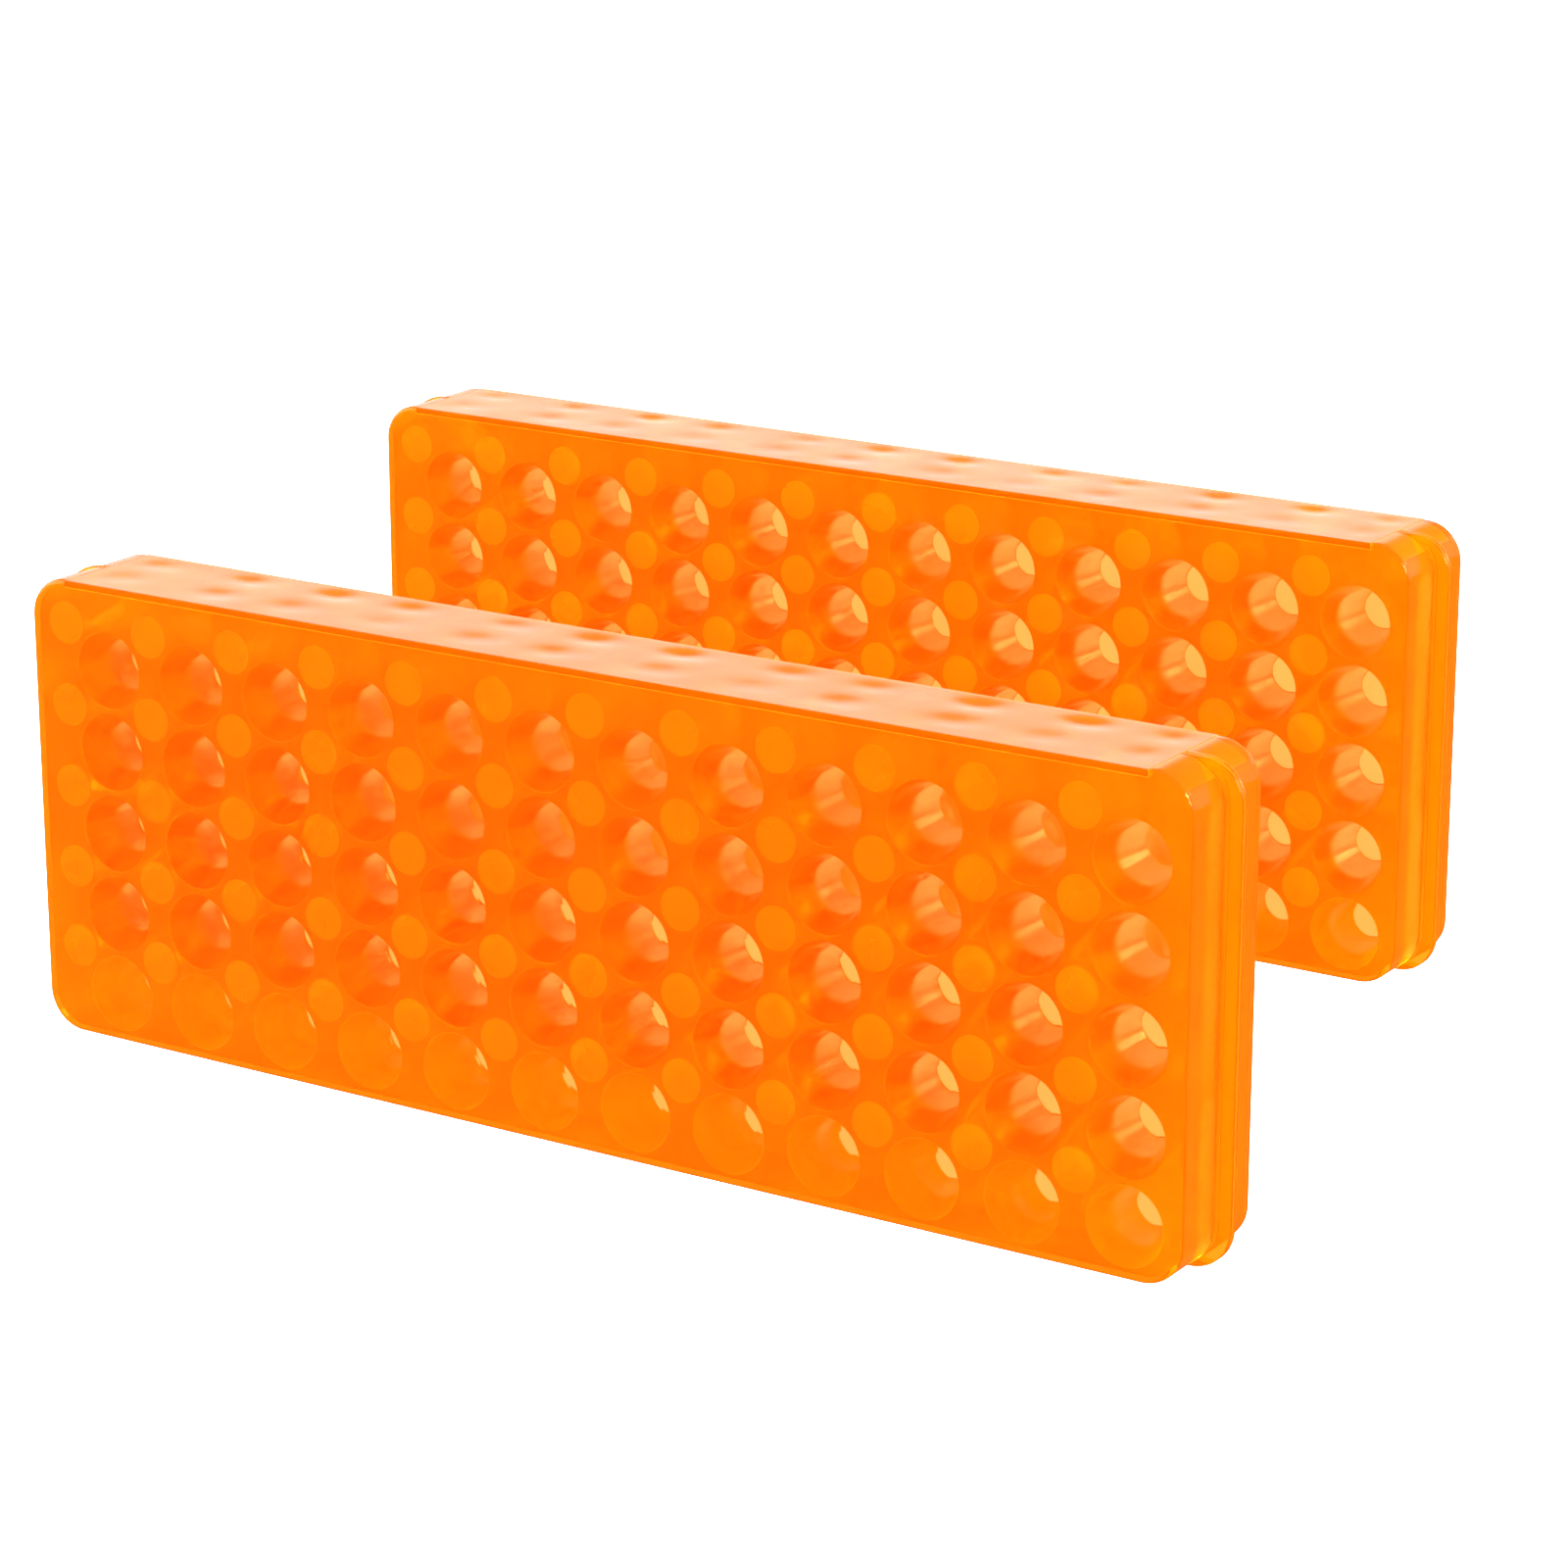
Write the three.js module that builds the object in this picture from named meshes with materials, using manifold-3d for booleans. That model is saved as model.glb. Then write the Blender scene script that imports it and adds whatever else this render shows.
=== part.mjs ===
// Two folding tire traction mats, folded shut, each standing on its long lower edge.
// A mat is a soft clear-orange moulding of two leaves with solid studs. A spine web joins them and
// folds on two creases, as the cover of a book does, so that the studs of one leaf lie between the
// studs of the other. Units are millimetres: +X runs along the mats, +Y to the back, +Z is up.
import * as THREE from "three";
import { mergeVertices } from "three/addons/utils/BufferGeometryUtils.js";
import Module from "manifold-3d";

const wasm = await Module();
wasm.setup();
const { Manifold, Mesh: SolidMesh } = wasm;

// ---- driving dimensions --------------------------------------------------------------------------
const SHEET_LENGTH = 383.6; // a leaf's sheet, along X
const HEIGHT = 139; // closed mat, floor to spine
const DEPTH = 38; // closed mat, outer face to outer face
const SHEET = 2.8; // thickness of the sheets
const WEB = 1.4; // thickness of the spine web
const CREASE_RADIUS = 1; // of the round bead on each fold line
const CORNER_RADIUS = 12; // corners of the sheets and flanges
const CORNER_DETAIL = 3; // half the number of straight runs in one rounded corner

const COLUMNS = 12;
const ROWS = 5;
const COLUMN_PITCH = 30.8;
const ROW_PITCH = 24.8;
const FRONT_FIRST_COLUMN = 27; // from the left edge of the sheet
const FRONT_FIRST_ROW = 14.2; // from the floor
const STUD_BASE_RADIUS = 11.4; // at the sheet
const STUD_TIP_RADIUS = 6.4; // at the flat tip
const ROUND_SIDES = 12; // flat sides that stand for a round, on studs and beads

const WALL = 1.6; // rim wall round three sides of a leaf
const FLANGE = 1.4; // thickness of the flange on the free edge of the rim wall
const FLANGE_REACH = { left: 2, right: 5 }; // how far a flange stands out past the sheets
const GAP = 0.3; // clearance where two separately moving pieces close on each other

const MAT_B_SHIFT = { x: -59, y: 247 }; // where the second mat stands, seen from the first

// ---- worked out from them ------------------------------------------------------------------------
const PARTING = DEPTH / 2; // the leaves close on this plane
const FLANGE_START = PARTING - GAP / 2 - FLANGE;
const STUD_HEIGHT = DEPTH - 2 * SHEET - GAP; // from its own sheet to just short of the other one
const LEAF_TOP = HEIGHT - 2 * CREASE_RADIUS - GAP; // a leaf ends just under the crease
const SPINE_START = CORNER_RADIUS + 1; // the spine and creases stop short of the rounded corners
const SPINE_END = SHEET_LENGTH - CORNER_RADIUS - 1;
const FRONT_STUDS = { x: FRONT_FIRST_COLUMN, z: FRONT_FIRST_ROW };
const BACK_STUDS = {
  x: FRONT_FIRST_COLUMN - COLUMN_PITCH / 2,
  z: FRONT_FIRST_ROW + ROW_PITCH / 2,
};
const ORANGE = { color: 0xff7404, roughness: 0.16, metalness: 0 };

// ---- solids --------------------------------------------------------------------------------------

// A closed three.js geometry as a manifold-3d solid.
function solid(geometry) {
  const bare = geometry.clone();
  bare.deleteAttribute("normal");
  bare.deleteAttribute("uv");
  const merged = mergeVertices(bare, 1e-4);
  return new Manifold(
    new SolidMesh({
      numProp: 3,
      vertProperties: merged.attributes.position.array,
      triVerts: new Uint32Array(merged.index.array),
    }),
  );
}

// A solid back as a three.js geometry.
function geometryOf(body) {
  const { vertProperties, triVerts } = body.getMesh();
  const geometry = new THREE.BufferGeometry();
  geometry.setAttribute("position", new THREE.BufferAttribute(vertProperties, 3));
  geometry.setIndex(new THREE.BufferAttribute(triVerts, 1));
  const flat = geometry.toNonIndexed();
  flat.computeVertexNormals();
  return flat;
}

// A rounded rectangle in the XZ plane, extruded from y0 to y1.
function roundedPlate({ left, right, bottom, top, radius, y0, y1 }) {
  const outline = new THREE.Shape();
  outline.moveTo(left + radius, bottom);
  outline.lineTo(right - radius, bottom);
  outline.absarc(right - radius, bottom + radius, radius, -Math.PI / 2, 0);
  outline.absarc(right - radius, top - radius, radius, 0, Math.PI / 2);
  outline.absarc(left + radius, top - radius, radius, Math.PI / 2, Math.PI);
  outline.absarc(left + radius, bottom + radius, radius, Math.PI, Math.PI * 1.5);
  const plate = new THREE.ExtrudeGeometry(outline, {
    depth: y1 - y0,
    bevelEnabled: false,
    curveSegments: CORNER_DETAIL,
  });
  plate.rotateX(Math.PI / 2); // the extrusion now runs from y = 0 towards -Y
  plate.translate(0, y1, 0);
  return plate;
}

// A box between two corners.
function boxBetween(x0, x1, y0, y1, z0, z1) {
  const box = new THREE.BoxGeometry(x1 - x0, y1 - y0, z1 - z0);
  return box.translate((x0 + x1) / 2, (y0 + y1) / 2, (z0 + z1) / 2);
}

// A cone frustum along +Y, from y0 with radius r0 to y1 with radius r1.
function frustum(x, z, y0, r0, y1, r1) {
  const cone = new THREE.CylinderGeometry(r1, r0, y1 - y0, ROUND_SIDES);
  return cone.translate(x, (y0 + y1) / 2, z);
}

// ---- one leaf, with its outer face at y = 0 and its studs pointing to +Y -------------------------

// The outline of a leaf's sheet and of the rim wall that stands on it.
const LEAF_OUTLINE = { left: 0, right: SHEET_LENGTH, bottom: 0, top: HEIGHT, radius: CORNER_RADIUS };
// The same outline on the inner side of the rim wall.
const INNER_OUTLINE = {
  left: WALL,
  right: SHEET_LENGTH - WALL,
  bottom: WALL,
  top: HEIGHT - WALL,
  radius: CORNER_RADIUS - WALL,
};
const FLANGE_OUTLINE = {
  ...LEAF_OUTLINE,
  left: -FLANGE_REACH.left,
  right: SHEET_LENGTH + FLANGE_REACH.right,
};

// Cuts the strip that the spine web and its creases take off the top of a leaf.
function clearOfSpine(body, y0, y1) {
  const strip = boxBetween(SPINE_START - GAP, SPINE_END + GAP, y0 - 1, y1 + 1, LEAF_TOP, HEIGHT + 1);
  return body.subtract(solid(strip));
}

// The sheet, with a solid conical stud standing on it at each place of the grid.
function studSheet(firstStud) {
  const plate = solid(roundedPlate({ ...LEAF_OUTLINE, y0: 0, y1: SHEET }));
  const root = SHEET / 2; // a stud is rooted in the middle of the sheet
  const studs = [];
  for (let row = 0; row < ROWS; row++) {
    for (let column = 0; column < COLUMNS; column++) {
      const x = firstStud.x + column * COLUMN_PITCH;
      const z = firstStud.z + row * ROW_PITCH;
      studs.push(solid(frustum(x, z, root, STUD_BASE_RADIUS, SHEET + STUD_HEIGHT, STUD_TIP_RADIUS)));
    }
  }
  // A stud whose foot meets the rim wall is flattened against it.
  const insideWall = solid(roundedPlate({ ...INNER_OUTLINE, y0: 0, y1: DEPTH }));
  const field = Manifold.union(studs).intersect(insideWall);
  return geometryOf(clearOfSpine(plate.add(field), 0, SHEET));
}

// A ring from y0 to y1 inside an outline, open at the top where the spine closes the mat.
function openRing(outline, y0, y1) {
  const outer = solid(roundedPlate({ ...outline, y0, y1 }));
  const inner = solid(roundedPlate({ ...INNER_OUTLINE, y0: y0 - 1, y1: y1 + 1 }));
  return geometryOf(clearOfSpine(outer.subtract(inner), y0, y1));
}

// The wall round the ends and the foot of a leaf, from the sheet to the flange.
function rimWall() {
  return openRing(LEAF_OUTLINE, SHEET, FLANGE_START);
}

// The flange on the free edge of the wall, which stands out past the sheet at both ends.
function flange() {
  return openRing(FLANGE_OUTLINE, FLANGE_START, PARTING - GAP / 2);
}

// ---- the spine -----------------------------------------------------------------------------------

// The flat web that joins the leaves over the top, between the two creases.
function spineWeb() {
  const ends = 2 * CREASE_RADIUS;
  return boxBetween(SPINE_START, SPINE_END, ends, DEPTH - ends, HEIGHT - WEB, HEIGHT);
}

// The round bead on which one leaf folds.
function creaseBead() {
  const bead = new THREE.CylinderGeometry(
    CREASE_RADIUS,
    CREASE_RADIUS,
    SPINE_END - SPINE_START,
    ROUND_SIDES,
  );
  bead.rotateY(Math.PI / ROUND_SIDES); // a flat of the bead faces the web
  bead.rotateZ(Math.PI / 2);
  return bead;
}

// ---- the assembly --------------------------------------------------------------------------------
function part(name, geometry) {
  const mesh = new THREE.Mesh(geometry, new THREE.MeshStandardMaterial(ORANGE));
  mesh.name = name;
  return mesh;
}

// The three pieces of a leaf. The back leaf is made as the front one is, and mirrored in depth.
function addLeaf(mat, prefix, firstStud, facesBack) {
  const pieces = {
    stud_sheet: studSheet(firstStud),
    rim_wall: rimWall(),
    flange: flange(),
  };
  for (const [kind, geometry] of Object.entries(pieces)) {
    if (facesBack) {
      mirrorInDepth(geometry);
    }
    mat.add(part(`${prefix}_${kind}`, geometry));
  }
}

// Mirrors a geometry in the parting plane and turns its faces outwards again.
function mirrorInDepth(geometry) {
  const position = geometry.attributes.position;
  const corners = position.array.slice();
  for (let face = 0; face < position.count; face += 3) {
    for (let corner = 0; corner < 3; corner++) {
      const from = 3 * (face + 2 - corner);
      position.setXYZ(face + corner, corners[from], DEPTH - corners[from + 1], corners[from + 2]);
    }
  }
  geometry.computeVertexNormals();
}

function makeMat(prefix) {
  const mat = new THREE.Group();
  addLeaf(mat, `${prefix}_front`, FRONT_STUDS, false);
  addLeaf(mat, `${prefix}_back`, BACK_STUDS, true);
  mat.add(part(`${prefix}_spine_web`, spineWeb()));
  const middle = (SPINE_START + SPINE_END) / 2;
  for (const [side, y] of [
    ["front", CREASE_RADIUS],
    ["back", DEPTH - CREASE_RADIUS],
  ]) {
    const bead = part(`${prefix}_${side}_crease`, creaseBead());
    bead.position.set(middle, y, HEIGHT - CREASE_RADIUS);
    mat.add(bead);
  }
  return mat;
}

const mats = new THREE.Group();
const matA = makeMat("mat_a");
const matB = makeMat("mat_b");
// The origin is on the floor, under the middle of both mats together.
const middleOfMat = (SHEET_LENGTH + FLANGE_REACH.right - FLANGE_REACH.left) / 2;
matA.position.set(-middleOfMat - MAT_B_SHIFT.x / 2, -(DEPTH + MAT_B_SHIFT.y) / 2, 0);
matB.position.set(matA.position.x + MAT_B_SHIFT.x, matA.position.y + MAT_B_SHIFT.y, 0);
mats.add(matA, matB);

export default mats;
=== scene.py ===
"""Two folded traction mats of clear orange soft plastic, standing on their long edges.

Blender 4.5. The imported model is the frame: every piece stands where its solids stand. The
mouldings are worked out in millimetres and turned into metres as their meshes are made. In a leaf,
x runs from its left end, y is the depth from its outer face and z is the height above the floor.
"""

import itertools
import math

import bmesh
import bpy
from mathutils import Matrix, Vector
from mathutils.geometry import tessellate_polygon


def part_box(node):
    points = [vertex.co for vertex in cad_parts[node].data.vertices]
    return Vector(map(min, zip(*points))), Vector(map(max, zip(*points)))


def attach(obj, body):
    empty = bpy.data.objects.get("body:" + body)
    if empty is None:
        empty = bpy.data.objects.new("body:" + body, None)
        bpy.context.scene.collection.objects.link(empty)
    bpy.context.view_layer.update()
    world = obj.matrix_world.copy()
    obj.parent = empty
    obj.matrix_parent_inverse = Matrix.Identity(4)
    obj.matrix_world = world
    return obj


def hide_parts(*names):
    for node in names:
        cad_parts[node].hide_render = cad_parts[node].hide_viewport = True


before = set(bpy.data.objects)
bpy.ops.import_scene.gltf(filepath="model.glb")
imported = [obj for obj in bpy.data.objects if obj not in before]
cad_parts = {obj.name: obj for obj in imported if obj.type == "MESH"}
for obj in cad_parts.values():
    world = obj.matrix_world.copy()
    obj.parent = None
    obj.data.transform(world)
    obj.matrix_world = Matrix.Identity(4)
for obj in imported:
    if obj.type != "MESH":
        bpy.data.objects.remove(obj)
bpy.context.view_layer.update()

MM = 0.001

# ---- the moulding, in millimetres, as the CAD model states it ------------------------------------
SHEET = 2.8  # thickness
WALL = 1.6
FLANGE = 1.4
PARTING_GAP = 0.15  # from a flange to the plane on which the leaves close
CORNER_RADIUS = 12.0
FLANGE_REACH_LEFT = 2.0
FLANGE_REACH_RIGHT = 5.0
COLUMNS = 12
ROWS = 5
COLUMN_PITCH = 30.8
ROW_PITCH = 24.8
OTHER = {"front": "back", "back": "front"}
FIRST_STUD = {"front": (27.0, 14.2), "back": (11.6, 26.6)}
STUD_BASE = 11.4  # radius at the sheet
STUD_TIP = 6.4
TIP_GAP = 0.3  # from a stud's tip to the sheet of the other leaf
CREASE_RADIUS = 1.0
WEB = 1.4
SPINE_INSET = 13.0  # from each end of the sheet to the spine
SPINE_END_GAP = 0.3  # between the ends of the spine and the leaves

# ---- places read from the frame ------------------------------------------------------------------


def leaf_place(mat):
    """Left end, front face, length, depth and height of a folded mat, in millimetres."""
    front_low, front_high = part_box(f"{mat}_front_stud_sheet")
    back_low, back_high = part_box(f"{mat}_back_stud_sheet")
    return {
        "left": front_low[0] / MM,
        "face": front_low[1] / MM,
        "length": (front_high[0] - front_low[0]) / MM,
        "depth": (back_high[1] - front_low[1]) / MM,
        "height": front_high[2] / MM,
    }


# ---- mesh building -------------------------------------------------------------------------------


CORNER_STEPS = 14
STUD_SIDES = 40


class Shell:
    """Collects rings of points and the faces between them, and becomes a mesh object."""

    def __init__(self):
        self.points = []
        self.faces = []

    def ring(self, points):
        start = len(self.points)
        self.points.extend(points)
        return list(range(start, start + len(points)))

    def bridge(self, first, second):
        count = len(first)
        for i in range(count):
            j = (i + 1) % count
            self.faces.append((first[i], first[j], second[j], second[i]))

    def rings(self, loops):
        made = [self.ring(loop) for loop in loops]
        for first, second in zip(made, made[1:]):
            self.bridge(first, second)
        return made

    def fill(self, outline, holes=()):
        """Fills a flat outline, less its holes."""
        loops = [outline, *holes]
        order = [index for loop in loops for index in loop]
        flat = [[Vector((self.points[i][0], self.points[i][2], 0)) for i in loop] for loop in loops]
        for triangle in tessellate_polygon(flat):
            self.faces.append(tuple(order[corner] for corner in triangle))

    def fill_across(self, outline):
        """Fills an outline that lies across the mat."""
        flat = [[Vector((self.points[i][1], self.points[i][2], 0)) for i in outline]]
        for triangle in tessellate_polygon(flat):
            self.faces.append(tuple(outline[corner] for corner in triangle))

    def object(self, name, place):
        """Turns the shell into an object. place maps a point in millimetres to the row frame."""
        mesh = bpy.data.meshes.new(name)
        mesh.from_pydata([place(point) for point in self.points], [], self.faces)
        build = bmesh.new()
        build.from_mesh(mesh)
        bmesh.ops.remove_doubles(build, verts=build.verts, dist=1e-7)
        bmesh.ops.recalc_face_normals(build, faces=build.faces)
        build.to_mesh(mesh)
        build.free()
        made = bpy.data.objects.new(name, mesh)
        bpy.context.scene.collection.objects.link(made)
        return made


def circle(x, z, radius, depth, least_x=-math.inf):
    """One ring of a stud. It is flattened where it would pass least_x, near the end of a leaf."""
    points = []
    for side in range(STUD_SIDES):
        angle = 2 * math.pi * side / STUD_SIDES
        px = x + radius * math.cos(angle)
        points.append((max(px, least_x), depth, z + radius * math.sin(angle)))
    return points


def rounded_loop(left, right, bottom, top, radius, depth):
    """A rounded rectangle at one depth, anticlockwise seen from the front."""
    corners = [
        (right - radius, bottom + radius, -0.5),
        (right - radius, top - radius, 0.0),
        (left + radius, top - radius, 0.5),
        (left + radius, bottom + radius, 1.0),
    ]
    points = []
    for x, z, start in corners:
        for step in range(CORNER_STEPS + 1):
            angle = math.pi * (start + 0.5 * step / CORNER_STEPS)
            points.append((x + radius * math.cos(angle), depth, z + radius * math.sin(angle)))
    return points


def quarter(steps):
    """Cosine and sine at each step of a quarter turn."""
    angles = [math.pi * i / 2 / steps for i in range(steps + 1)]
    return [(math.cos(angle), math.sin(angle)) for angle in angles]


# ---- one leaf ------------------------------------------------------------------------------------
EDGE_ROUNDING = 1.2  # on the outer edge of a sheet
FOOT_FILLET = 0.5  # of a stud
TIP_ROUNDING = 0.4
STUD_LEAST_X = 1.0  # inside the rim wall
SINK = 0.22  # depth of the shallow sink mark in the outer face over each stud
SINK_RADIUS = 11.2
SINK_LEAST_X = EDGE_ROUNDING + 0.2
SPINE_GAP = 0.1  # from the top of a leaf to the bead above it


def stud_profile(tip_depth):
    """(radius, depth) of a stud from its foot on the sheet to its flat tip."""
    slope = (STUD_BASE - STUD_TIP) / (tip_depth - SHEET)
    profile = []
    for c, s in quarter(3):
        profile.append((STUD_BASE + FOOT_FILLET * (1 - s), SHEET + FOOT_FILLET * (1 - c)))
    for c, s in quarter(3):
        end = tip_depth - TIP_ROUNDING * (1 - s)
        profile.append((STUD_BASE - slope * (end - SHEET) - TIP_ROUNDING * (1 - c), end))
    return profile


def stud_places(side):
    """(x, z) of every stud of a leaf."""
    first_x, first_z = FIRST_STUD[side]
    return [
        (first_x + column * COLUMN_PITCH, first_z + row * ROW_PITCH)
        for row in range(ROWS)
        for column in range(COLUMNS)
    ]


def sink_profile():
    """(radius, depth) of a sink mark from its rim to its middle."""
    profile = [(SINK_RADIUS, 0.0)]
    for share in (0.94, 0.86, 0.7, 0.45, 0.15):
        profile.append((SINK_RADIUS * share, SINK * (1 - share**6) ** 1.5))
    return profile


def stud_sheet(name, side, place, length, depth, height):
    """The sheet of a leaf with its solid studs, as one closed skin."""
    shell = Shell()
    studs = stud_profile(depth - SHEET - TIP_GAP)
    edges = [(EDGE_ROUNDING * (1 - s), EDGE_ROUNDING * (1 - c)) for c, s in quarter(4)]
    edges.append((0.0, SHEET))
    rim = shell.rings(
        [
            rounded_loop(inset, length - inset, inset, height - inset, CORNER_RADIUS - inset, at)
            for inset, at in edges
        ]
    )
    sinks, feet = [], []
    for x, z in stud_places(OTHER[side]):
        patch = shell.ring(circle(x, z, STUD_TIP, SHEET))  # where a stud of the other leaf presses
        shell.faces.append(tuple(patch))
        feet.append(patch)
    for x, z in stud_places(side):
        skin = shell.rings([circle(x, z, r, at, STUD_LEAST_X) for r, at in studs])
        shell.faces.append(tuple(skin[-1]))
        feet.append(skin[0])
        sunk = shell.rings([circle(x, z, r, at, SINK_LEAST_X) for r, at in sink_profile()])
        shell.faces.append(tuple(sunk[-1]))
        sinks.append(sunk[0])
    shell.fill(rim[0], sinks)
    shell.fill(rim[-1], feet)
    return shell.object(name, place)


RIM_ROOT = 1.2  # how deep in the sheet the rim wall starts
RIM_INSET = 0.05  # of the wall's outer face from the edge of the sheet
RIM_FILLET = 0.8  # where the wall turns out into the flange
FILLET_SHARE = 0.12  # of the flange's reach that the fillet takes
LIP = 0.45  # rounding on the flange's edges


def rim_ring(name, place, length, depth, height):
    """The rim wall and its flange, as one closed ring that reaches into the sheet."""
    free = depth / 2 - PARTING_GAP
    under = free - FLANGE

    def loop(out, at, inset):
        left, right = -FLANGE_REACH_LEFT * out, length + FLANGE_REACH_RIGHT * out
        return rounded_loop(
            left + inset, right - inset, inset, height - inset, CORNER_RADIUS - inset, at
        )

    section = [loop(0, RIM_ROOT, RIM_INSET), loop(0, under - RIM_FILLET, RIM_INSET)]
    for c, s in quarter(3):
        section.append(loop(FILLET_SHARE * (1 - c), under - RIM_FILLET * (1 - s), RIM_INSET * c))
    for c, s in quarter(3):
        section.append(loop(1, under + LIP * (1 - c), LIP * (1 - s)))
    for c, s in quarter(3):
        section.append(loop(1, free - LIP * (1 - s), LIP * (1 - c)))
    section.append(loop(0, free, WALL))
    section.append(loop(0, RIM_ROOT, WALL))
    shell = Shell()
    made = shell.rings(section)
    shell.bridge(made[-1], made[0])
    return shell.object(name, place)


def box_object(name, low, high, place):
    """A box between two corners."""
    shell = Shell()
    shell.points = list(itertools.product(*zip(low, high)))
    ends = [(0, 1, 3, 2), (4, 6, 7, 5)]
    sides = [(0, 4, 5, 1), (2, 3, 7, 6), (0, 2, 6, 4), (1, 5, 7, 3)]
    shell.faces = ends + sides
    return shell.object(name, place)


def combine(base, other, operation):
    """Joins or cuts two closed meshes and throws the second one away."""
    step = base.modifiers.new("combine", "BOOLEAN")
    step.operation = operation
    step.solver = "MANIFOLD"
    step.object = other
    bpy.context.view_layer.update()
    evaluated = base.evaluated_get(bpy.context.evaluated_depsgraph_get())
    result = bpy.data.meshes.new_from_object(evaluated)
    base.modifiers.remove(step)
    old = base.data
    base.data = result
    bpy.data.meshes.remove(old)
    bpy.data.meshes.remove(other.data)


def smooth(piece):
    """Smooth shading whose normals follow the flat faces."""
    piece.data.shade_smooth()
    piece.data.set_sharp_from_angle(angle=math.radians(40))
    normals = piece.modifiers.new("normals", "WEIGHTED_NORMAL")
    normals.keep_sharp = True
    normals.weight = 90


FINISHES = ("outer", "stud", "painted_lit_stud", "matt", "rim", "flange", "tight", "loose")
RIM_MARGIN = 1.6  # this near the outline, a sheet has the finish of the rim
RIM_DEPTH = 0.3  # but not on its outer face
RIM_BAND = 2.4  # holds the rim wall, its rounding and what lies on it
FLANGE_FROM = 16.6  # depth at which the rim wall turns out into the flange
# The lowest row below this height has a finish with painted light from the floor below.
LOW_ROW_TOP = 25.7  # height under which the studs of the front leaf are in its lowest row
NEAR = 0.05  # faces this near a depth lie on it


def mark_faces(piece, spot, side):
    """Picks the material of each face, as an index into FINISHES.

    "tight" is for the contacts between the leaves at the back of a mat, and "loose" for those at
    its front: a stud's tip, or the patch of the sheet that a tip of the other leaf presses on.
    """
    back = side == "back"
    outer = spot["face"] + (spot["depth"] if back else 0)
    pressed = stud_places(OTHER[side])
    tips_from = spot["depth"] - SHEET - TIP_GAP - 0.2
    for face in piece.data.polygons:
        x, y, z = (value / MM for value in face.center)
        x -= spot["left"]
        deep = abs(y - outer)
        from_end = min(x, spot["length"] - x)
        if deep < SHEET - NEAR:
            on_edge = min(z, from_end) < RIM_MARGIN
            finish = "rim" if on_edge and deep > RIM_DEPTH else "outer"
        elif from_end < RIM_BAND and deep > SHEET + NEAR:
            finish = "rim" if deep < FLANGE_FROM else "flange"
        elif z <= RIM_BAND:
            finish = "matt"
        elif deep > tips_from:
            finish = "loose" if back else "tight"
        elif deep < SHEET + NEAR:
            reach = min(math.hypot(x - px, z - pz) for px, pz in pressed)
            finish = "matt" if reach > STUD_TIP - 0.1 else "tight" if back else "loose"
        else:
            # The front leaf's lowest row of studs gets a hazier, yellower finish: painted light
            # from the floor below.
            finish = "painted_lit_stud" if z < LOW_ROW_TOP and not back else "stud"
        face.material_index = FINISHES.index(finish)


def leaf(mat, side):
    """One leaf as one moulding: the sheet and studs, with the rim wall and flange joined on."""
    spot = leaf_place(mat)
    length, depth, height = spot["length"], spot["depth"], spot["height"]

    def place(point):
        x, y, z = point
        if side == "back":
            y = depth - y
        return ((spot["left"] + x) * MM, (spot["face"] + y) * MM, z * MM)

    piece = stud_sheet(f"{mat}_{side}_leaf_moulding", side, place, length, depth, height)
    combine(piece, rim_ring("rim", place, length, depth, height), "UNION")
    start = SPINE_INSET - SPINE_END_GAP
    low = (start, -1, height - 2 * CREASE_RADIUS - SPINE_GAP)
    high = (length - start, depth / 2, height + 1)
    combine(piece, box_object("strip", low, high, place), "DIFFERENCE")
    smooth(piece)
    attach(piece, f"{mat}_{side}_leaf")
    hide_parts(*[f"{mat}_{side}_{kind}" for kind in ("stud_sheet", "rim_wall", "flange")])
    return piece


# ---- the spine -----------------------------------------------------------------------------------
SPINE_STEPS = 190
SPINE_ACROSS = 20
BEAD_ROUNDING = 0.3
BEAD_STEPS = 4
SAGS = ((12.0, 0.5, 7.5, 5.5), (29.5, 0.75, 7.0, 4.5))  # rows: depth, sag, half length, half width
SAG_FADE = 8  # the sag starts over this length at each end of the web
FOLD_DEPTH = 1.45  # below this the spine has the finish of the rim


def sag(x, y):
    """How far the soft web hangs down between the top studs of the back leaf."""
    drop = 0.06 * (1 + math.sin(x / 11 + y / 7))
    for column in range(COLUMNS):
        middle = FIRST_STUD["front"][0] + column * COLUMN_PITCH
        for depth, amount, long, wide in SAGS:
            shift = 2.5 * math.sin(column * 2.3 + depth)
            size = 1 + 0.25 * math.sin(column * 1.7 + depth)
            along, across = (x - middle - shift) / long, (y - depth) / wide
            drop += amount * size * math.exp(-(along**2) - across**2)
    return drop


def bead_corner(y, z, start):
    """A quarter turn of the rounded edge of a bead, clockwise from an angle."""
    points = []
    for i in range(BEAD_STEPS + 1):
        angle = start - math.pi / 2 * i / BEAD_STEPS
        points.append((y + BEAD_ROUNDING * math.cos(angle), z + BEAD_ROUNDING * math.sin(angle), 0))
    return points


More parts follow.
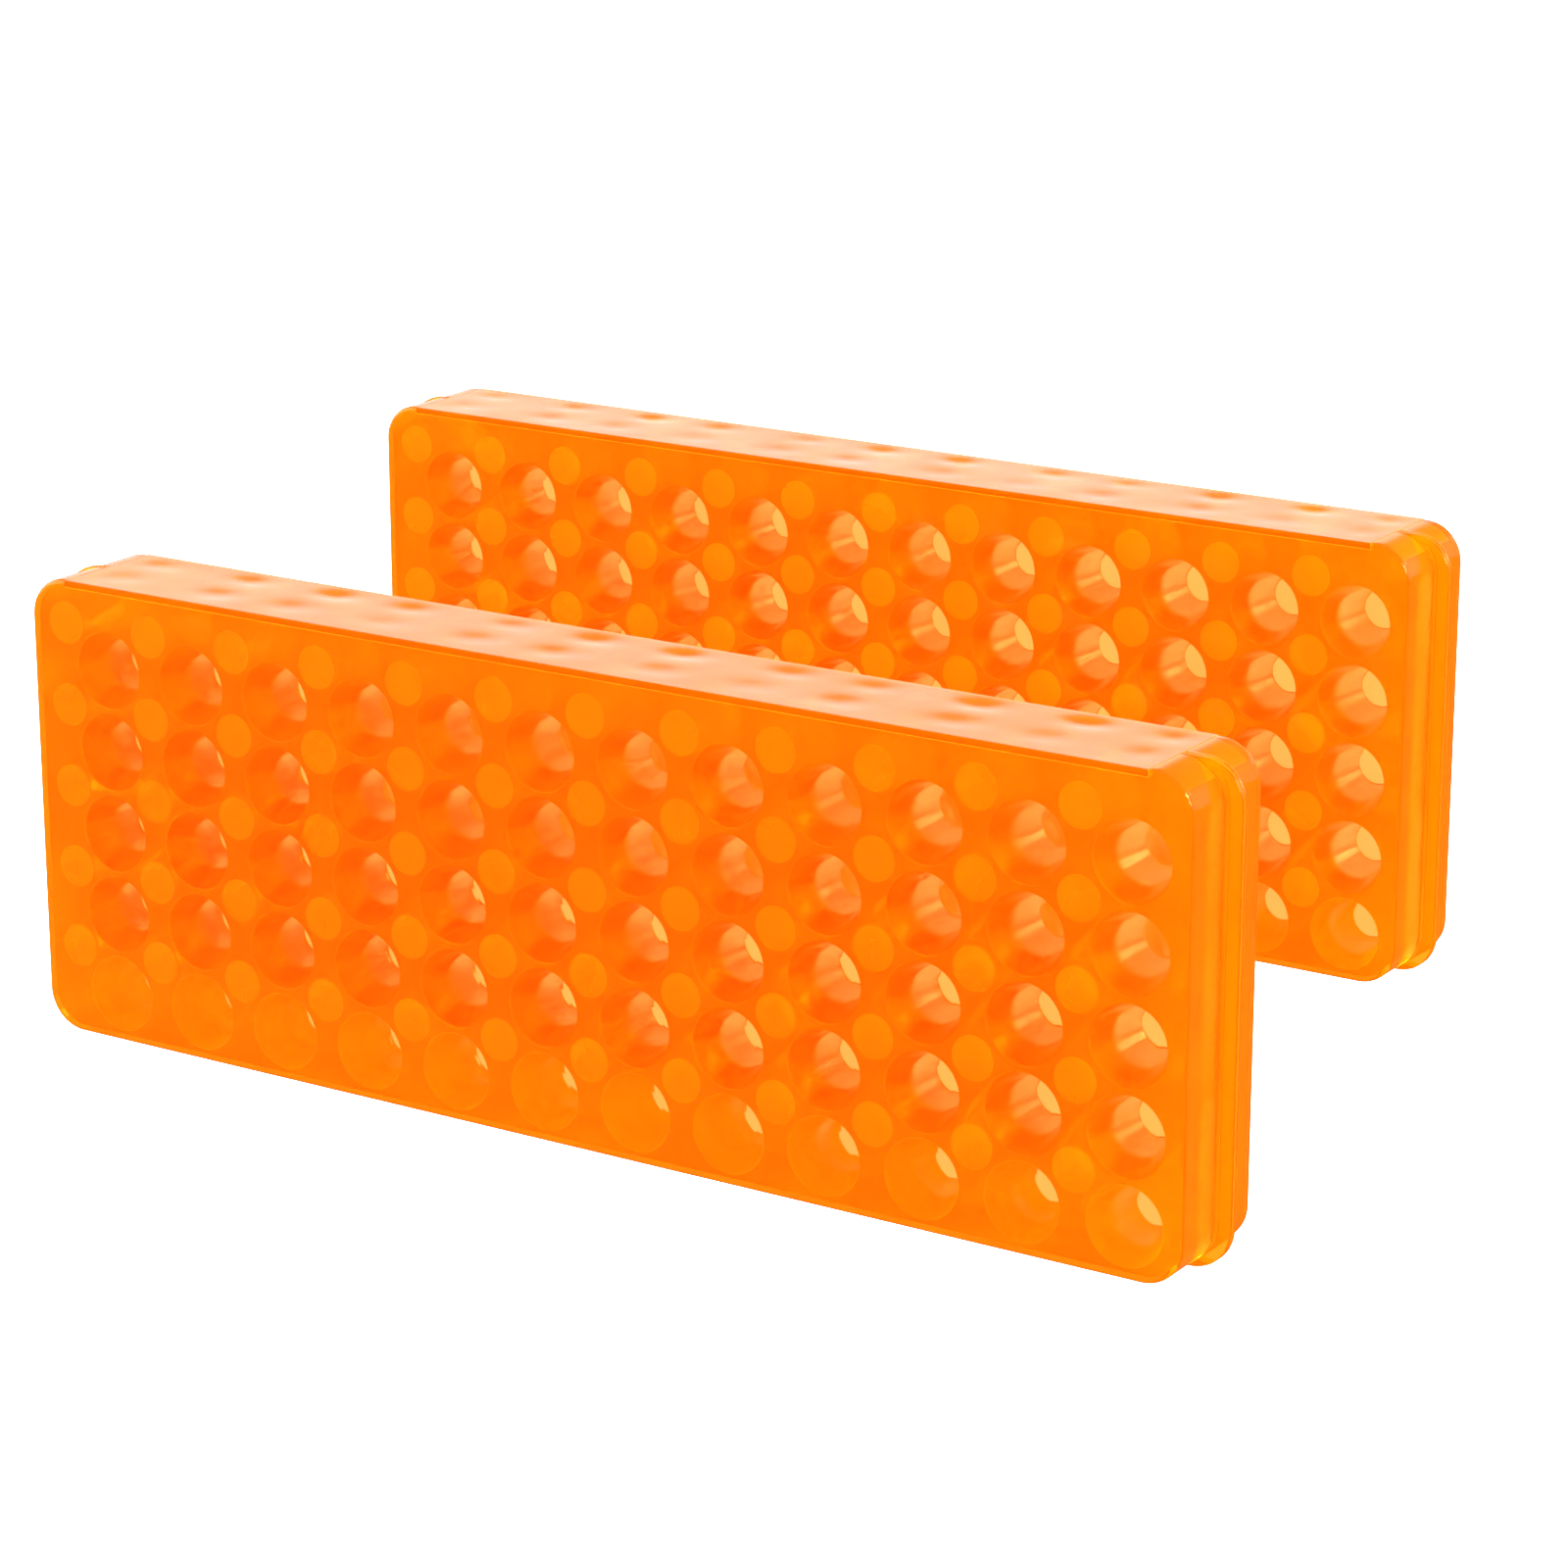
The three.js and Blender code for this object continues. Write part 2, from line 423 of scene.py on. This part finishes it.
def spine(mat):
    """The web over the top with a bead along each crease, swept along the mat. It sags a little."""
    spot = leaf_place(mat)
    length, depth, height = spot["length"], spot["depth"], spot["height"]
    r, e = CREASE_RADIUS, BEAD_ROUNDING
    low, high = height - 2 * r + e, height - e
    section = []  # (y, z, share of the sag), once round the section
    section += bead_corner(2 * r - e, low, 0)
    section += bead_corner(e, low, -math.pi / 2)
    section += bead_corner(e, high, -math.pi)
    for i in range(1, SPINE_ACROSS):
        y = e + (depth - 2 * e) * i / SPINE_ACROSS
        section.append((y, height, math.sin(math.pi * i / SPINE_ACROSS) ** 0.5))
    section += bead_corner(depth - e, high, math.pi / 2)
    section += bead_corner(depth - e, low, 0)
    section += bead_corner(depth - 2 * r + e, low, -math.pi / 2)
    for i in range(SPINE_ACROSS + 1):
        y = depth - 2 * r - (depth - 4 * r) * i / SPINE_ACROSS
        section.append((y, height - WEB, math.sin(math.pi * i / SPINE_ACROSS) ** 0.5))
    shell = Shell()
    loops = []
    start, end = SPINE_INSET, length - SPINE_INSET
    for step in range(SPINE_STEPS + 1):
        x = start + (end - start) * step / SPINE_STEPS
        fade = min(1, (x - start) / SAG_FADE, (end - x) / SAG_FADE)
        loops.append([(x, y, z - sag(x, y) * share * fade) for y, z, share in section])
    made = shell.rings(loops)
    shell.fill_across(made[0])
    shell.fill_across(made[-1])

    def place(point):
        x, y, z = point
        return ((spot["left"] + x) * MM, (spot["face"] + y) * MM, z * MM)

    piece = shell.object(f"{mat}_spine_moulding", place)
    smooth(piece)
    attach(piece, f"{mat}_spine")
    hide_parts(*[f"{mat}_{kind}" for kind in ("spine_web", "front_crease", "back_crease")])
    return piece


def mark_folds(piece, spot):
    """Gives the upright and the lower faces of the two beads the piece's second material."""
    for face in piece.data.polygons:
        y, z = face.center.y / MM - spot["face"], face.center.z / MM
        on_bead = min(y, spot["depth"] - y) < 2 * CREASE_RADIUS + NEAR
        low = z < spot["height"] - FOLD_DEPTH
        face.material_index = int(on_bead and (abs(face.normal.y) > 0.8 or low))


# ---- material ------------------------------------------------------------------------------------


def node(tree, kind, **values):
    """A node with values on its named inputs."""
    made = tree.nodes.new(kind)
    for name, value in values.items():
        made.inputs[name.replace("_", " ")].default_value = value
    return made


HAZE_BACK = 0.4  # the share of the haze's light that it sends back and not through
CLOUD_SCALE = 45.0  # patches about 20 mm across
CLOUD_AMOUNT = 0.3  # how far haze and roughness vary over them
RIPPLE_SCALE = 160.0
RIPPLE_STRENGTH = 0.5
RIPPLE_DEPTH = 0.00002  # in metres


def clear_orange(name, look):
    """Glossy clear soft plastic.

    A strong dye colours the light at the first surface that a ray meets. Further down the path the
    plastic is nearly clear, and a haze on its surfaces carries the light.
    """
    material = bpy.data.materials.new(name)
    material.use_nodes = True
    tree = material.node_tree
    tree.nodes.clear()
    out = tree.nodes.new("ShaderNodeOutputMaterial")
    path = tree.nodes.new("ShaderNodeLightPath")

    def switched(deep, first):
        """A colour for the first surface a ray meets and another for the later ones."""
        mix = tree.nodes.new("ShaderNodeMix")
        mix.data_type = "RGBA"
        colours = [socket for socket in mix.inputs if socket.type == "RGBA"]
        colours[0].default_value = (*deep, 1)
        colours[1].default_value = (*first, 1)
        tree.links.new(path.outputs["Is Camera Ray"], mix.inputs["Factor"])
        return [socket for socket in mix.outputs if socket.type == "RGBA"][0]

    def varied(noise, low, high):
        """The noise as a value that runs about from low to high."""
        spread = node(
            tree, "ShaderNodeMapRange", From_Min=0.3, From_Max=0.7, To_Min=low, To_Max=high
        )
        tree.links.new(noise, spread.inputs["Value"])
        return spread.outputs["Result"]

    place = tree.nodes.new("ShaderNodeTexCoord").outputs["Object"]
    cloud = node(tree, "ShaderNodeTexNoise", Scale=CLOUD_SCALE, Detail=3.0)
    ripple = node(tree, "ShaderNodeTexNoise", Scale=RIPPLE_SCALE, Detail=2.0)
    for texture in (cloud, ripple):
        tree.links.new(place, texture.inputs["Vector"])
    bump = node(tree, "ShaderNodeBump", Strength=RIPPLE_STRENGTH, Distance=RIPPLE_DEPTH)
    tree.links.new(ripple.outputs["Fac"], bump.inputs["Height"])

    body = node(tree, "ShaderNodeBsdfPrincipled", IOR=look["ior"])
    rough = look["roughness"]
    tree.links.new(
        varied(cloud.outputs["Fac"], rough * (1 - CLOUD_AMOUNT), rough * (1 + CLOUD_AMOUNT)),
        body.inputs["Roughness"],
    )
    tree.links.new(bump.outputs["Normal"], body.inputs["Normal"])
    body.inputs["Transmission Weight"].default_value = 1.0
    body.inputs["Specular Tint"].default_value = (*look["gloss"], 1)
    tree.links.new(switched(look["clear"], look["dye"]), body.inputs["Base Color"])
    through = tree.nodes.new("ShaderNodeBsdfTranslucent")
    back = tree.nodes.new("ShaderNodeBsdfDiffuse")
    glow = switched(look["deep_glow"], look["glow"])
    tree.links.new(glow, through.inputs["Color"])
    tree.links.new(glow, back.inputs["Color"])
    milk = node(tree, "ShaderNodeMixShader", Fac=HAZE_BACK)
    tree.links.new(through.outputs[0], milk.inputs[1])
    tree.links.new(back.outputs[0], milk.inputs[2])
    amount = node(tree, "ShaderNodeMapRange", To_Min=look["deep_haze"], To_Max=look["haze"])
    tree.links.new(path.outputs["Is Camera Ray"], amount.inputs["Value"])
    uneven = tree.nodes.new("ShaderNodeMath")
    uneven.operation = "MULTIPLY"
    tree.links.new(amount.outputs["Result"], uneven.inputs[0])
    patches = varied(cloud.outputs["Fac"], 1 - CLOUD_AMOUNT, 1 + CLOUD_AMOUNT)
    tree.links.new(patches, uneven.inputs[1])
    mix = tree.nodes.new("ShaderNodeMixShader")
    tree.links.new(uneven.outputs[0], mix.inputs["Fac"])
    tree.links.new(body.outputs[0], mix.inputs[1])
    tree.links.new(milk.outputs[0], mix.inputs[2])
    tree.links.new(mix.outputs[0], out.inputs["Surface"])
    return material


LOOK = {
    "dye": (1.0, 0.028, 0.002),  # of the first surface
    "clear": (1.0, 0.93, 0.02),  # of the later ones
    "glow": (1.0, 0.075, 0.0),  # of the haze on the first surface
    "deep_glow": (1.0, 0.62, 0.05),
    "gloss": (1.0, 0.2, 0.0),
    "ior": 1.46,
}
# What differs from LOOK in each finish. Haze is how much of a surface's light its haze carries, on
# the first surface, and deep_haze the same on the later ones.
LOOKS = {
    "outer": {"roughness": 0.06, "haze": 0.15, "deep_haze": 0.15, "clear": (1.0, 0.95, 0.7)},
    "stud": {"roughness": 0.12, "haze": 0.2, "deep_haze": 0.35, "deep_glow": (1.0, 0.85, 0.05)},
    # Painted light: the front leaf's lowest row of studs is a hazier, yellower copy of stud that
    # stands for light from the floor below.
    "painted_lit_stud": {"roughness": 0.12, "haze": 0.2, "deep_haze": 0.9, "deep_glow": (1.0, 1.0, 0.1)},
    "matt": {"roughness": 0.15, "haze": 0.3, "deep_haze": 0.7},
    "rim": {
        "roughness": 0.12,
        "haze": 0.6,
        "deep_haze": 0.6,
        "dye": (1.0, 0.02, 0.0),
        "glow": (1.0, 0.05, 0.0),
    },
    "flange": {
        "roughness": 0.08,
        "haze": 0.2,
        "deep_haze": 0.15,
        "dye": (1.0, 0.022, 0.001),
        "clear": (1.0, 0.95, 0.3),
    },
    "tight": {"roughness": 0.12, "haze": 0.15, "deep_haze": 0.03, "clear": (1.0, 0.97, 0.9)},
    "loose": {"roughness": 0.3, "haze": 0.15, "deep_haze": 0.6, "deep_glow": (1.0, 0.95, 0.08)},
    "spine": {
        "roughness": 0.12,
        "haze": 0.25,
        "deep_haze": 0.3,
        "dye": (1.0, 0.04, 0.002),
        "glow": (1.0, 0.1, 0.01),
    },
}


# ---- scene ---------------------------------------------------------------------------------------
CAMERA_AT = (0.7453, -1.1457, 0.4744)
CAMERA_AZIMUTH = 32.83
CAMERA_ELEVATION = 16.64
CAMERA_LENS = 108.2
SENSOR = 36
ROOM = 2.6  # strength of the white room, as the plastic takes it in
# Its strength in a gloss reflection, which fades with the height of the direction.
ROOM_GLOSS = {"From_Min": 0.3, "From_Max": 0.42, "To_Min": 1.8, "To_Max": 0.1}
FLOOR = 4.2  # strength of the lit paper that the mats stand on
FLOOR_GLOSS = 0.1  # reflected
FLOOR_SIZE = 8
FLOOR_DROP = 0.0005  # keeps the paper clear of the mats' feet
KEY_STRENGTH = 1850
KEY_SIZE = 1.92
KEY_DISTANCE = 5.0
KEY_TOWARDS = (0.85, 0.26, 0.47)
FILL_STRENGTH = 60
FILL_SIZE = 1.5
FILL_DISTANCE = 1.6
FILL_TOWARDS = (-0.8, -0.5, 0.35)


def camera():
    data = bpy.data.cameras.new("camera")
    data.lens = CAMERA_LENS
    data.sensor_width = SENSOR
    made = bpy.data.objects.new("camera", data)
    made.location = CAMERA_AT
    made.rotation_euler = (math.radians(90 - CAMERA_ELEVATION), 0, math.radians(CAMERA_AZIMUTH))
    bpy.context.scene.collection.objects.link(made)
    bpy.context.scene.camera = made


def gloss_ray(tree):
    """1 for what a gloss reflection shows, 0 for everything else."""
    path = tree.nodes.new("ShaderNodeLightPath")
    both = tree.nodes.new("ShaderNodeMath")
    both.operation = "MULTIPLY"
    tree.links.new(path.outputs["Is Glossy Ray"], both.inputs[0])
    tree.links.new(path.outputs["Is Reflection Ray"], both.inputs[1])
    return both.outputs[0]


def soft_light(name, strength, size, distance, towards):
    """A square softbox at a distance from the origin, facing it."""
    data = bpy.data.lights.new(name, "AREA")
    data.shape = "SQUARE"
    data.size = size
    data.energy = strength
    lamp = bpy.data.objects.new(name, data)
    towards = Vector(towards).normalized()
    lamp.location = towards * distance
    lamp.rotation_euler = towards.to_track_quat("Z", "Y").to_euler()
    bpy.context.scene.collection.objects.link(lamp)


def white_room():
    """The world, white all round. Gloss reflections show it bright low down and dim above."""
    world = bpy.data.worlds.new("studio")
    bpy.context.scene.world = world
    world.use_nodes = True
    tree = world.node_tree
    background = tree.nodes["Background"]
    background.inputs["Color"].default_value = (1, 1, 1, 1)
    room = node(tree, "ShaderNodeMix")
    room.inputs[2].default_value = ROOM
    towards = tree.nodes.new("ShaderNodeTexCoord")
    split = tree.nodes.new("ShaderNodeSeparateXYZ")
    tree.links.new(towards.outputs["Generated"], split.inputs[0])
    shown = node(tree, "ShaderNodeMapRange", **ROOM_GLOSS)
    shown.interpolation_type = "SMOOTHSTEP"
    tree.links.new(split.outputs["Z"], shown.inputs["Value"])
    tree.links.new(shown.outputs["Result"], room.inputs[3])
    tree.links.new(gloss_ray(tree), room.inputs["Factor"])
    tree.links.new(room.outputs[0], background.inputs["Strength"])


def lit_floor():
    """Plain white paper that gives light, so that nothing on it casts a shadow."""
    bpy.ops.mesh.primitive_plane_add(size=FLOOR_SIZE, location=(0, 0, -FLOOR_DROP))
    floor = bpy.context.object
    floor.name = "floor"
    paper = bpy.data.materials.new("lit_paper")
    paper.use_nodes = True
    tree = paper.node_tree
    tree.nodes.clear()
    light = node(tree, "ShaderNodeEmission", Color=(1, 1, 1, 1))
    shade = tree.nodes.new("ShaderNodeMix")
    shade.inputs[2].default_value = FLOOR
    shade.inputs[3].default_value = FLOOR_GLOSS
    tree.links.new(gloss_ray(tree), shade.inputs["Factor"])
    tree.links.new(shade.outputs[0], light.inputs["Strength"])
    tree.links.new(light.outputs[0], tree.nodes.new("ShaderNodeOutputMaterial").inputs["Surface"])
    floor.data.materials.append(paper)


def studio():
    bpy.context.scene.view_settings.view_transform = "Standard"
    white_room()
    lit_floor()
    soft_light("key", KEY_STRENGTH, KEY_SIZE, KEY_DISTANCE, KEY_TOWARDS)
    soft_light("fill", FILL_STRENGTH, FILL_SIZE, FILL_DISTANCE, FILL_TOWARDS)


def give(piece, materials):
    """Gives a piece these materials and no other."""
    piece.data.materials.clear()
    for material in materials:
        piece.data.materials.append(material)


def main():
    camera()
    studio()
    plastic = {
        name: clear_orange(f"clear_orange_{name}", {**LOOK, **look}) for name, look in LOOKS.items()
    }
    for mat in ("mat_a", "mat_b"):
        for side in ("front", "back"):
            piece = leaf(mat, side)
            give(piece, [plastic[finish] for finish in FINISHES])
            mark_faces(piece, leaf_place(mat), side)
        piece = spine(mat)
        give(piece, [plastic["spine"], plastic["rim"]])
        mark_folds(piece, leaf_place(mat))


main()
